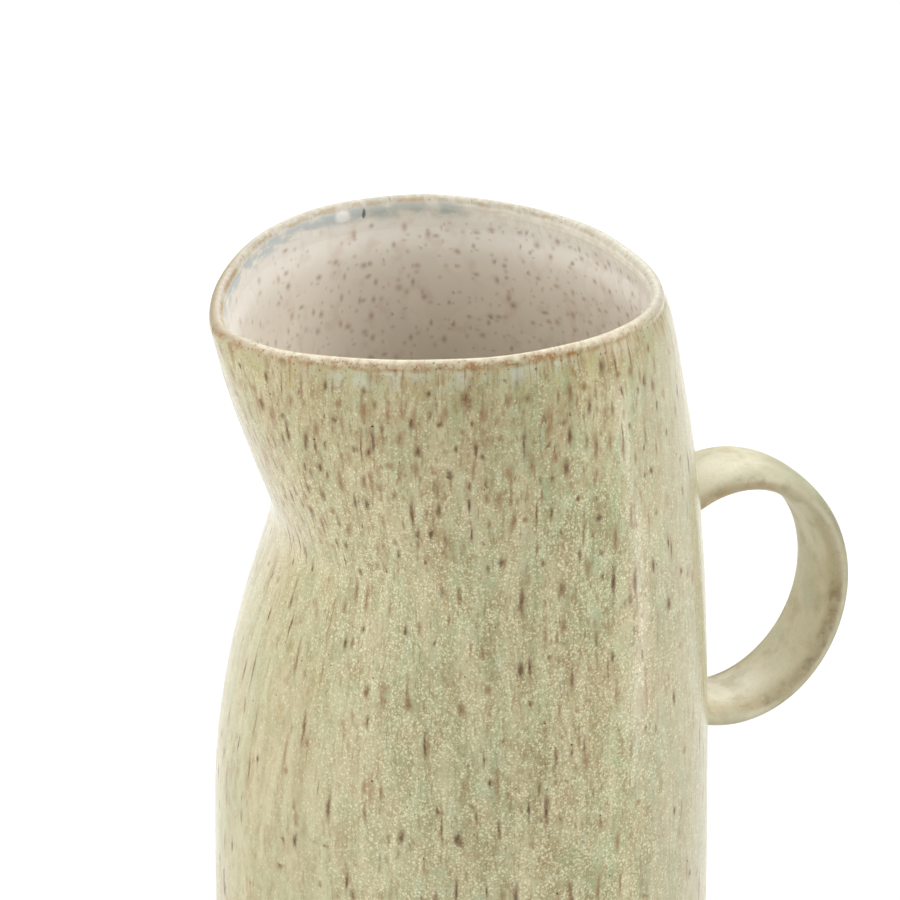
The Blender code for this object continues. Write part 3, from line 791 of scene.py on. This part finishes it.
def handle_glaze():
    t = Tree("handle_glaze")
    p = t.vec("SCALE", t.where(), scale=1000.0)
    edge, inside, joint, turn = t.attr("edge"), t.attr("inside"), t.attr("joint"), t.attr("turn")
    broad = t.noise(p, 0.08, 3.0, 0.5)
    col = t.mix(t.ramp(broad, 0.36, 0.66), lin(200, 194, 165), lin(218, 212, 187))
    col = t.blend(t.ramp(inside, 0.60, 0.92), 0.20, col, lin(204, 194, 163))
    # paler on the lower inside, grey-green outside, browner under the upper end
    col = t.blend(t.math("MULTIPLY", t.ramp(turn, -0.6, -1.4), t.ramp(inside, 0.88, 1.0)), 0.70, col, lin(240, 233, 214))
    outer = t.math("MULTIPLY", t.ramp(t.math("ABSOLUTE", t.math("ADD", turn, 0.15)), 0.7, 1.7, 1.0, 0.0), t.ramp(inside, 0.60, 0.30))
    col = t.blend(outer, 0.90, col, lin(133, 130, 98))
    tan = t.math("MULTIPLY", t.math("MULTIPLY", t.ramp(turn, 0.75, 1.35), t.ramp(inside, 0.30, 0.52)), t.ramp(t.noise(p, 0.22, 3.0, 0.55), 0.36, 0.60, 0.55, 1.0))
    col = t.blend(tan, 0.60, col, lin(166, 140, 95))
    mottle = t.noise(p, 0.17, 3.0, 0.5)
    col = t.blend(t.ramp(mottle, 0.48, 0.70), 0.46, col, lin(174, 160, 122))
    green = t.noise(t.vec("ADD", p, (40.0, 11.0, 7.0)), 0.12, 2.0, 0.5)
    col = t.blend(t.ramp(green, 0.50, 0.70), 0.40, col, lin(186, 189, 162))
    # the glaze breaks brown where it runs thin over the strap's edges
    shifted = t.math("ADD", inside, t.math("SUBTRACT", t.ramp(turn, 0.5, 1.2, 0.0, 0.27), t.ramp(turn, -0.8, -1.6, 0.0, 0.15)))
    ridge = t.math("MULTIPLY", t.ramp(shifted, 0.42, 0.62), t.ramp(shifted, 0.76, 0.94, 1.0, 0.0))
    ridge = t.math("MULTIPLY", ridge, t.ramp(edge, 0.10, 0.60))
    ridge = t.math("MULTIPLY", ridge, t.ramp(t.math("ABSOLUTE", t.math("SUBTRACT", turn, 0.90)), 0.15, 0.50, 0.45, 1.0))
    thin = t.noise(p, 0.16, 3.0, 0.55)
    col = t.blend(t.math("MULTIPLY", ridge, t.ramp(thin, 0.34, 0.60, 0.40, 1.0)), 0.44, col, lin(172, 151, 110))
    spot = t.math("MULTIPLY", t.ramp(t.noise(t.vec("ADD", p, (9.0, 3.0, 70.0)), 0.26, 3.0, 0.55), 0.46, 0.72), ridge)
    col = t.blend(spot, 0.48, col, lin(126, 98, 64))
    grain = t.noise(p, 1.3, 3.0, 0.6)
    col = t.blend(t.ramp(grain, 0.48, 0.72), 0.14, col, lin(150, 134, 96))
    cream = t.grains(p, 1.0, 0.18, 0.36, 0.7)
    col = t.blend(cream, 0.18, col, lin(234, 228, 200))
    # darker in the fillet, towards the wall
    darker_to_wall = t.ramp(joint, 0.3, 0.9)
    col = t.blend(darker_to_wall, 0.25, col, lin(180, 170, 132))
    t.put(t.bsdf.inputs["Base Color"], col)
    t.put(t.bsdf.inputs["Roughness"], t.ramp(mottle, 0.3, 0.7, 0.42, 0.56))
    t.bsdf.inputs["Specular IOR Level"].default_value = 0.32
    t.put(t.bsdf.inputs["Normal"], t.bump(t.noise(p, 0.35, 2.0, 0.5), 0.20, 0.00015))
    return t.mat


# ------------------------------------------------------------------- the model
OUTER, LINING, HANDLE = outer_glaze(), lining_glaze(), handle_glaze()


def dress(obj, material, slot, *nodes):
    obj.data.materials.append(material)
    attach(obj, "root")
    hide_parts(*nodes)


dress(make_body(), OUTER, "outer_glaze", "body")
dress(make_lining(), LINING, "lining_glaze", "inner_glaze")
dress(make_handle(), HANDLE, "handle_glaze", "handle")
dress(make_lute("carafe_joint_upper", 1.0), HANDLE, "outer_glaze", "handle_joint_upper")
dress(make_lute("carafe_joint_lower", -1.0), HANDLE, "outer_glaze", "handle_joint_lower")

# ------------------------------------------------------------ camera and light
AZIMUTH, ELEVATION = math.radians(23.41), math.radians(24.0)
DISTANCE, SIDE_SHIFT, AIM_DEPTH = 869.6, -2.54, 39.38
FOCAL_PIXELS = 4000.0


def seen_from(x, y, z):
    """Point given right of, behind and above the carafe's axis as the camera sees it, in mm."""
    c, s = math.cos(AZIMUTH), math.sin(AZIMUTH)
    return Vector((x * c + y * s, -x * s + y * c, z)) * MM


def aim(obj, spot, target):
    obj.location = spot
    obj.rotation_euler = (target - spot).to_track_quat("-Z", "Y").to_euler()


cam_data = bpy.data.cameras.new("camera")
cam_data.sensor_width = 36.0
cam_data.lens = FOCAL_PIXELS / 900.0 * 36.0
cam_data.clip_start, cam_data.clip_end = 0.01, 50.0
camera = bpy.data.objects.new("camera", cam_data)
bpy.context.scene.collection.objects.link(camera)
aim(camera,
    seen_from(SIDE_SHIFT, -DISTANCE * math.cos(ELEVATION), RIM_HEIGHT - AIM_DEPTH + DISTANCE * math.sin(ELEVATION)),
    seen_from(SIDE_SHIFT, 0.0, RIM_HEIGHT - AIM_DEPTH))
bpy.context.scene.camera = camera


def softbox(name, spot, target, width, height, power, colour=(1.0, 1.0, 1.0)):
    light = bpy.data.lights.new(name, "AREA")
    light.shape, light.size, light.size_y = "RECTANGLE", width, height
    light.energy, light.color = power, colour
    obj = bpy.data.objects.new(name, light)
    bpy.context.scene.collection.objects.link(obj)
    aim(obj, spot, target)
    obj.visible_camera = False
    return obj


MIDDLE = Vector((0.0, 0.0, 0.12))


def dome_box(name, turn, rise, size, power):
    """Softbox one metre away, turn degrees to the right of the camera and rise degrees up."""
    turn, rise = math.radians(turn), math.radians(rise)
    spot = seen_from(1000 * math.sin(turn) * math.cos(rise), -1000 * math.cos(turn) * math.cos(rise), 120 + 1000 * math.sin(rise))
    return softbox(name, spot, MIDDLE, size, size, power)


dome_box("right_box", 90, 42, 0.7, 7.3)
dome_box("back_box", 180, 42, 0.7, 5.3)
dome_box("left_back_box", -120, 42, 0.7, 3.0)
dome_box("left_top_box", -90, 66, 0.7, 2.3)
dome_box("left_front_box", -60, 42, 0.7, 1.0)
dome_box("low_left_front", -30, 14, 0.45, 2.25)
dome_box("low_left_side", -60, 14, 0.45, 1.5)
dome_box("low_left", -90, 14, 0.45, 0.8)
dome_box("low_left_back", -120, 14, 0.45, 0.7)
dome_box("low_right", 90, 14, 0.45, 1.65)
dome_box("front_low", 0, 14, 0.45, 0.70)
dome_box("front_top", 0, 66, 0.7, 0.55)

# low strip to the right, mirrored as a soft upright band on the body
strip = softbox("right_strip", seen_from(470, -33, 2), MIDDLE, 0.40, 0.026, 0.30)
strip.rotation_euler = (math.pi, 0.0, math.atan2(0.147, 1.0) - AZIMUTH)
far_strip = softbox("right_far_strip", seen_from(880, -88, 2), MIDDLE, 0.44, 0.05, 0.55)
far_strip.rotation_euler = (math.pi, 0.0, math.atan2(-0.112, 0.44) - AZIMUTH)

floor_mesh = bpy.data.meshes.new("floor")
floor_mesh.from_pydata([(-6, -6, 0), (6, -6, 0), (6, 6, 0), (-6, 6, 0)], [], [(0, 1, 2, 3)])
floor = bpy.data.objects.new("floor", floor_mesh)
bpy.context.scene.collection.objects.link(floor)
ft = Tree("floor_white")
ft.put(ft.bsdf.inputs["Base Color"], ft.mix(ft.noise(ft.where(), 3.0, 2.0, 0.5), (0.80, 0.80, 0.79, 1.0), (0.82, 0.82, 0.81, 1.0)))
ft.bsdf.inputs["Roughness"].default_value = 0.9
ft.bsdf.inputs["Specular IOR Level"].default_value = 0.0
ft.bsdf.inputs["Emission Color"].default_value = (1.0, 1.0, 1.0, 1.0)
across = ft.split(ft.where())
behind = ft.math("ADD", ft.math("MULTIPLY", across[0], math.sin(AZIMUTH)), ft.math("MULTIPLY", across[1], math.cos(AZIMUTH)))
ft.put(ft.bsdf.inputs["Emission Strength"], ft.ramp(behind, 0.15, 0.80, 0.0, 0.25))
floor.data.materials.append(ft.mat)

# pale sweep all round: it fades in over the floor and rises far away, and gives no light
SWEEP = [(0.70, 0.002), (1.0, 0.002), (1.4, 0.002), (2.0, 0.002), (3.0, 0.003), (4.0, 0.004)]
SWEEP += [(4.0 + 1.8 * math.sin(q), 0.004 + 1.8 * (1.0 - math.cos(q))) for q in np.linspace(0.2, 0.5 * math.pi, 8)] + [(5.8, 6.0)]
SPOKES = 96
turns = 2.0 * np.pi * np.arange(SPOKES) / SPOKES
sweep_points = np.array([[(r * math.cos(q), r * math.sin(q), z) for q in turns] for r, z in SWEEP]).reshape(-1, 3)
sweep_mesh = bpy.data.meshes.new("sweep")
sweep_mesh.from_pydata(sweep_points.tolist(), [], ring_faces(len(SWEEP), SPOKES))
sweep_mesh.shade_smooth()
sweep = bpy.data.objects.new("sweep", sweep_mesh)
bpy.context.scene.collection.objects.link(sweep)
st = Tree("sweep_white")
spread = st.split(st.where())
away = st.math("SQRT", st.math("ADD", st.math("MULTIPLY", spread[0], spread[0]), st.math("MULTIPLY", spread[1], spread[1])))
st.bsdf.inputs["Base Color"].default_value = (0.0, 0.0, 0.0, 1.0)
st.bsdf.inputs["Specular IOR Level"].default_value = 0.0
st.bsdf.inputs["Roughness"].default_value = 1.0
st.bsdf.inputs["Emission Color"].default_value = (1.0, 1.0, 0.99, 1.0)
st.bsdf.inputs["Emission Strength"].default_value = 0.93
st.put(st.bsdf.inputs["Alpha"], st.ramp(away, 0.72, 1.5))
sweep.data.materials.append(st.mat)
for flag in ("visible_diffuse", "visible_glossy", "visible_transmission", "visible_volume_scatter", "visible_shadow"):
    setattr(sweep, flag, False)

world = bpy.data.worlds.new("studio")
bpy.context.scene.world = world
world.use_nodes = True
world.node_tree.nodes["Background"].inputs["Color"].default_value = (1.0, 1.0, 1.0, 1.0)
world.node_tree.nodes["Background"].inputs["Strength"].default_value = 0.04

bpy.context.scene.view_settings.view_transform = "Standard"
bpy.context.scene.view_settings.look = "None"
